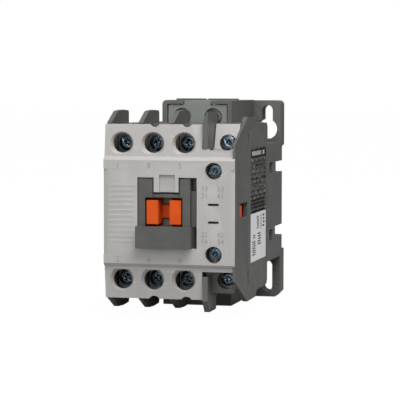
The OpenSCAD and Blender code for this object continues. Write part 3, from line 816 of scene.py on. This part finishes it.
latch_low, latch_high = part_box("rail_latch_spring")
latch_x, latch_y = (latch_low.x + latch_high.x) / 2, (latch_low.y + latch_high.y) / 2
foot, head_end = (latch_x, latch_y, latch_low.z), (latch_x, latch_y, latch_high.z)
latch_wire = make_spring("latch_spring_wire", foot, head_end, 0.85 * MM, 0.22 * MM, 4)
finish_piece(latch_wire, spring_wire, "spring_steel", "frame", "rail_latch_spring")
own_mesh(latch_wire)


# ---- Add-on guide ------------------------------------------------------------------------
# A dark frame in the cover's window with a proud bar, over which front add-on blocks hook.
# It is moulded in the same polyamide as the housings and is a little smoother; its darker colour is partly
# its own tone and partly painted shade.
guide_plastic = plastic("guide_plastic", (0.068, 0.069, 0.066), (0.16, 0.16, 0.155), 0.42, mottle=0.1)

guide = clean_copy("accessory_guide", "addon_guide")
soften(guide, 0.2 * MM, 3)
finish_piece(guide, guide_plastic, "guide_plastic", "frame", "accessory_guide")


# ---- Front cover -------------------------------------------------------------------------
# A light grey snap-on moulding in polycarbonate, satin, with raised ribs to the left of the
# window and raised terminal numbers. It clips over the main housing and hides the contacts.
cover_grey = plastic("cover_grey", (0.43, 0.415, 0.4), (0.6, 0.59, 0.58), 0.5, 2200.0, 0.00002, 0.05, 0.35)
mark_grey = plastic("mark_grey", (0.26, 0.255, 0.25), (0.4, 0.4, 0.39), 0.5, 2200.0, 0.00002, 0.05)

cover = clean_copy("front_cover", "cover_moulding")
soften(cover, 0.3 * MM, 3)
finish_piece(cover, cover_grey, "light_cover", "frame", "front_cover")

cover_low, cover_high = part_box("front_cover")
band_y = cover_low.y
middle_x = (cover_low.x + cover_high.x) / 2

rib_count = 12
rib_pitch = 1.7 * MM
rib_low = -10.2 * MM
rib_height = 0.75 * MM
rib_proud = 0.07 * MM
rib_root = 0.1 * MM
rib = add_box(
    "grip_ribs",
    (middle_x - 20.6 * MM, band_y - rib_proud, rib_low),
    (middle_x - 11.8 * MM, band_y + rib_root, rib_low + rib_height),
)
repeat = rib.modifiers.new("repeat", "ARRAY")
repeat.count = rib_count
repeat.use_relative_offset = False
repeat.use_constant_offset = True
repeat.constant_offset_displace = (0, 0, rib_pitch)
bpy.ops.object.modifier_apply(modifier=repeat.name)
soften(rib, 0.06 * MM, 2)
finish_piece(rib, cover_grey, "light_cover", "frame")

poles = [(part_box("line_contact_%d" % n)[0].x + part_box("line_contact_%d" % n)[1].x) / 2 for n in (1, 2, 3)]
marks = [(str(2 * n + 1), x - 0.9 * MM, 15.4 * MM, 1.9) for n, x in enumerate(poles)]
marks += [(str(2 * n + 2), x - 0.9 * MM, -16.0 * MM, 1.9) for n, x in enumerate(poles)]
for row, texts in ((8.0, ("13", "53")), (5.7, ("21", "61")), (-7.2, ("22", "62")), (-9.5, ("14", "54"))):
    for x, text in zip((12.3, 17.8), texts):
        marks.append((text, x * MM, row * MM, 1.7))
numbers = []
for text, x, z, height in marks:
    bpy.ops.object.text_add(location=(x, band_y + 0.05 * MM, z), rotation=(math.radians(90), 0, 0))
    number = bpy.context.object
    number.data.body = text
    number.data.align_x = "CENTER"
    number.data.align_y = "CENTER"
    number.data.size = height * 1.4 * MM
    number.data.extrude = 0.11 * MM
    number.data.resolution_u = 3
    select_only(number)
    bpy.ops.object.convert(target="MESH")
    numbers.append(bpy.context.object)
raised = join_to(numbers[0], *numbers[1:])
raised.name = "terminal_numbers"
settle(raised)
finish_piece(raised, mark_grey, "light_cover", "frame")


# ---- Rating label and sticker ------------------------------------------------------------
# A dark printed panel with plain rows of blocks in place of ratings, and a satin white film
# below it with a plain pattern of marks. Both are stuck in a shallow recess of the side wall.
def build_printed_rows():
    """A mask of small printed blocks in rows, with gaps between words."""
    group, given, out = new_group(
        "printed_rows", {"Row pitch": 1.4, "Ink": 0.55, "Fine": 1.0}, {}, {"Mask": "NodeSocketFloat"}
    )
    place = group.nodes.new("ShaderNodeTexCoord").outputs["Object"]
    split = group.nodes.new("ShaderNodeSeparateXYZ")
    group.links.new(place, split.inputs[0])
    height_mm = maths(group, "MULTIPLY", split.outputs["Z"], 1000.0)
    rows = maths(group, "DIVIDE", height_mm, given.outputs["Row pitch"])
    within = maths(group, "FRACT", maths(group, "ADD", rows, 100.0))
    number = maths(group, "FLOOR", rows)
    over_foot = maths(group, "GREATER_THAN", within, 0.3)
    under_top = maths(group, "LESS_THAN", within, 0.86)
    in_row = maths(group, "MULTIPLY", over_foot, under_top)
    letters = group.nodes.new("ShaderNodeCombineXYZ")
    letter_scale = maths(group, "MULTIPLY", given.outputs["Fine"], 1600.0)
    group.links.new(maths(group, "MULTIPLY", split.outputs["Y"], letter_scale), letters.inputs[0])
    group.links.new(maths(group, "MULTIPLY", number, 7.31), letters.inputs[1])
    group.links.new(maths(group, "MULTIPLY", split.outputs["Z"], 1300.0), letters.inputs[2])
    stroke = noise(group, letters.outputs[0], 1.0, 1.0)
    words = group.nodes.new("ShaderNodeCombineXYZ")
    group.links.new(maths(group, "MULTIPLY", split.outputs["Y"], 300.0), words.inputs[0])
    group.links.new(maths(group, "MULTIPLY", number, 3.77), words.inputs[1])
    gap = maths(group, "GREATER_THAN", noise(group, words.outputs[0], 1.0, 0.0), 0.42)
    ink = maths(group, "GREATER_THAN", stroke, maths(group, "SUBTRACT", 1.0, given.outputs["Ink"]))
    mask = maths(group, "MULTIPLY", maths(group, "MULTIPLY", in_row, gap), ink)
    group.links.new(mask, out.inputs["Mask"])
    return group


printed_rows = build_printed_rows()


def print_rows(material, ink, row_pitch, ink_share, fine):
    """Adds rows of small ink blocks over what a material already shows."""
    tree = material.node_tree
    surface = tree.nodes["Principled BSDF"]
    rows = tree.nodes.new("ShaderNodeGroup")
    rows.node_tree = printed_rows
    rows.inputs["Row pitch"].default_value = row_pitch
    rows.inputs["Ink"].default_value = ink_share
    rows.inputs["Fine"].default_value = fine
    under = surface.inputs["Base Color"].links[0].from_socket
    tree.links.new(blend_colours(tree, rows.outputs["Mask"], under, ink), surface.inputs["Base Color"])


FILM_GRAIN = 3000.0
FILM_RELIEF = 0.00001
label_film = plastic(
    "label_film", (0.085, 0.085, 0.08), (0.1105, 0.1105, 0.104), 0.6,
    FILM_GRAIN, FILM_RELIEF, 0.05, 0.3, 0.15,
)
print_rows(label_film, (0.006, 0.006, 0.006), 1.5, 0.6, 0.6)
print_rows(label_film, (0.3, 0.3, 0.29), 1.9, 0.44, 0.8)
sticker_film = plastic(
    "sticker_film", (0.93, 0.93, 0.94), (0.95, 0.95, 0.95), 0.35, FILM_GRAIN, FILM_RELIEF, 0.03, 0.3, 0.3
)

label = clean_copy("rating_label", "rating_panel")
soften(label, 0.05 * MM)
finish_piece(label, label_film, "dark_label", "frame", "rating_label")

sticker = clean_copy("type_sticker", "white_film")
soften(sticker, 0.05 * MM)
finish_piece(sticker, sticker_film, "white_sticker", "frame", "type_sticker")


# The second colour given is the painted highlight on the ink's sharp edges.
def printing_ink(name, colour, edge_highlight):
    """A thin matt ink on the label or the sticker."""
    return plastic(name, colour, edge_highlight, 0.6, FILM_GRAIN, FILM_RELIEF, shine=0.05)


ink_black = printing_ink("ink_black", (0.01, 0.01, 0.01), (0.03, 0.03, 0.03))
ink_white = printing_ink("ink_white", (0.5, 0.5, 0.49), (0.6, 0.6, 0.6))
ink_grey = printing_ink("ink_grey", (0.08, 0.08, 0.085), (0.2, 0.2, 0.2))
label_low, label_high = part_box("rating_label")
sticker_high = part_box("type_sticker")[1]
label_wide = label_high.y - label_low.y


def print_block(name, near, far, bottom, top, lift=0.0):
    """A thin printed block on the side, placed by shares of the label's width and by height."""
    return add_box(
        name,
        (label_high.x - 0.02 * MM, label_low.y + near * label_wide, bottom),
        (label_high.x + 0.015 * MM + lift, label_low.y + far * label_wide, top),
    )


title_top = label_high.z - 0.3 * MM
black_blocks = [print_block("label_black_print", 0.03, 0.97, title_top - 2.7 * MM, title_top)]
for stripe in range(4):
    low_z = label_low.z + (0.3 + 1.3 * stripe) * MM
    black_blocks.append(print_block("stripe", 0.04, 0.9, low_z, low_z + 0.65 * MM))
black_print = join_to(black_blocks[0], *black_blocks[1:])
finish_piece(black_print, ink_black, "dark_label", "frame")

title_blocks = []
title_shares = [
    (0.08, 0.17), (0.19, 0.28), (0.3, 0.38), (0.41, 0.5), (0.52, 0.6), (0.63, 0.68), (0.78, 0.88)
]
for near, far in title_shares:
    title_blocks.append(
        print_block("label_white_print", near, far, title_top - 2.1 * MM, title_top - 0.6 * MM, 0.008 * MM)
    )
white_print = join_to(title_blocks[0], *title_blocks[1:])
finish_piece(white_print, ink_white, "dark_label", "frame")

# Columns of short marks: near and far share, start below the sticker's top, pitch and count.
grey_blocks = []
for near, far, start, pitch, count in (
    (0.79, 0.9, 1.1, 1.25, 4),
    (0.64, 0.7, 1.2, 0.75, 7),
    (0.4, 0.54, 1.3, 0.65, 7),
    (0.46, 0.66, 7.2, 0.9, 5),
    (0.16, 0.3, 7.4, 0.8, 2),
    (0.12, 0.32, 9.6, 0.75, 7),
):
    for row in range(count):
        top_z = sticker_high.z - (start + pitch * row) * MM
        shift = 0.012 * ((row * 7) % 3 - 1)
        grey_blocks.append(
            print_block("sticker_print", near + shift, far + shift, top_z - 0.55 * pitch * MM, top_z)
        )
grey_print = join_to(grey_blocks[0], *grey_blocks[1:])
finish_piece(grey_print, ink_grey, "white_sticker", "frame")
